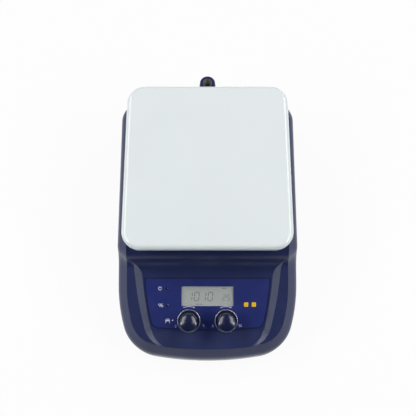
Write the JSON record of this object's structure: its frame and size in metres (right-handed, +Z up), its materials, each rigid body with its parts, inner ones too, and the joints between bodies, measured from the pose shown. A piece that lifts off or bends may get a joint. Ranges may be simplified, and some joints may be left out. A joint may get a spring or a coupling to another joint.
{
  "type": "hotplate stirrer",
  "caption": "Magnetic stirrer with a heated square ceramic-faced plate, a sunken sloping control panel with display and push-turn knobs, and a rear rod socket.",
  "frame": {"origin": "centre of the bounding box's footprint, at the underside of the feet", "axes": "+X to the user's right, +Y to the rear, +Z up"},
  "size_m": [0.215, 0.341, 0.112],
  "materials": {
    "shell_blue": "semi-gloss dark blue",
    "base_steel": "fine black powder coat",
    "foot_rubber": "matte",
    "screw_steel": "zinc plated",
    "plate_white": "white glazed face",
    "heater_mica": "matte mica",
    "terminal_brass": "plain",
    "insulation_mat": "mineral fibre mat",
    "pan_dark": "dark stainless sheet",
    "spacer_ceramic": "unglazed",
    "probe_steel": "plain",
    "cutout_case": "plain",
    "bracket_steel": "galvanised",
    "motor_paint": "satin black",
    "bearing_steel": "polished",
    "core_steel": "laminated",
    "coil_brass": "enamelled copper wire",
    "shaft_steel": "ground",
    "yoke_steel": "zinc plated",
    "magnet_nickel": "nickel plated",
    "film_blue": "satin blue film",
    "window_clear": "clear",
    "display_grey": "grey-green display",
    "lamp_dark": "dark tinted, unlit",
    "board_green": "solder mask",
    "post_plastic": "natural nylon",
    "encoder_black": "matte",
    "nut_steel": "nickel plated",
    "stem_alloy": "turned",
    "knob_navy": "gloss dark navy",
    "ring_silver": "bright",
    "insert_steel": "turned stainless",
    "parts_black": "moulded",
    "sink_alloy": "extruded",
    "inlet_black": "matte black",
    "pin_brass": "nickel plated",
    "fuse_glass": "clear tube",
    "rocker_black": "gloss black",
    "socket_chrome": "satin chrome",
    "grommet_rubber": "matte"
  },
  "bodies": {
    "housing": {"base_plate": "base_steel", "base_screws": "screw_steel", "bearings": "bearing_steel", "board_posts": "post_plastic", "board_standoffs": "post_plastic", "bracket_screws": "screw_steel", "control_board": "board_green", "control_film": "film_blue", "encoder_nuts": "nut_steel", "encoders": "encoder_black", "feet": "foot_rubber", "heat_lamp": "lamp_dark", "heat_pan": "pan_dark", "heat_sink": "sink_alloy", "heater_terminals": "terminal_brass", "heating_element": "heater_mica", "inlet_pins": "pin_brass", "insulation": "insulation_mat", "lcd_module": "display_grey", "lcd_window": "window_clear", "lower_spacers": "spacer_ceramic", "mains_inlet": "inlet_black", "motor_bracket": "bracket_steel", "motor_end_cap": "motor_paint", "motor_housing": "motor_paint", "plate_probe": "probe_steel", "plate_screws": "screw_steel", "power_board": "board_green", "power_parts": "parts_black", "rod_insert": "insert_steel", "sensor_nut": "nut_steel", "sensor_pins": "pin_brass", "sensor_socket": "socket_chrome", "small_screws": "screw_steel", "stator_core": "core_steel", "stator_windings": "coil_brass", "stir_lamp": "lamp_dark", "switch_frame": "inlet_black", "thermal_cutout": "cutout_case", "top_plate": "plate_white", "transformer": "parts_black", "upper_housing": "shell_blue", "upper_spacers": "spacer_ceramic", "wire_grommet": "grommet_rubber"},
    "stir_plunger": {"stir_carrier": "encoder_black"},
    "stir_dial": {"stir_knob": "knob_navy", "stir_knob_ring": "ring_silver", "stir_stem": "stem_alloy"},
    "heat_plunger": {"heat_carrier": "encoder_black"},
    "heat_dial": {"heat_knob": "knob_navy", "heat_knob_ring": "ring_silver", "heat_stem": "stem_alloy"},
    "rotor": {"motor_shaft": "shaft_steel", "rotor_core": "core_steel", "magnet_yoke": "yoke_steel", "magnets": "magnet_nickel"},
    "power_key": {"rocker": "rocker_black"},
    "fuse_tray": {"fuse_drawer": "inlet_black", "fuse_link": "fuse_glass"}
  },
  "joints": [
    {"name": "stir_push", "type": "slide", "parent": "housing", "child": "stir_plunger", "axis": [0, 0.2164, -0.9763], "range_m": [0, 0.0008], "stiffness_N_per_m": 5000, "springref_m": -0.0002},
    {"name": "stir_turn", "type": "hinge", "parent": "stir_plunger", "child": "stir_dial", "pos_m": [-0.0212, -0.12659, 0.04524], "axis": [0, -0.2164, 0.9763], "continuous": true},
    {"name": "heat_push", "type": "slide", "parent": "housing", "child": "heat_plunger", "axis": [0, 0.2164, -0.9763], "range_m": [0, 0.0008], "stiffness_N_per_m": 5000, "springref_m": -0.0002},
    {"name": "heat_turn", "type": "hinge", "parent": "heat_plunger", "child": "heat_dial", "pos_m": [0.0212, -0.12659, 0.04524], "axis": [0, -0.2164, 0.9763], "continuous": true},
    {"name": "rotor_spin", "type": "hinge", "parent": "housing", "child": "rotor", "pos_m": [0, 0.0388, 0.0725], "axis": [0, 0, 1], "continuous": true},
    {"name": "power_rock", "type": "hinge", "parent": "housing", "child": "power_key", "pos_m": [-0.027, 0.1335, 0.038], "axis": [1, 0, 0], "range_deg": [0, 18]},
    {"name": "fuse_pull", "type": "slide", "parent": "housing", "child": "fuse_tray", "axis": [0, 1, 0], "range_m": [0, 0.018]}
  ]
}
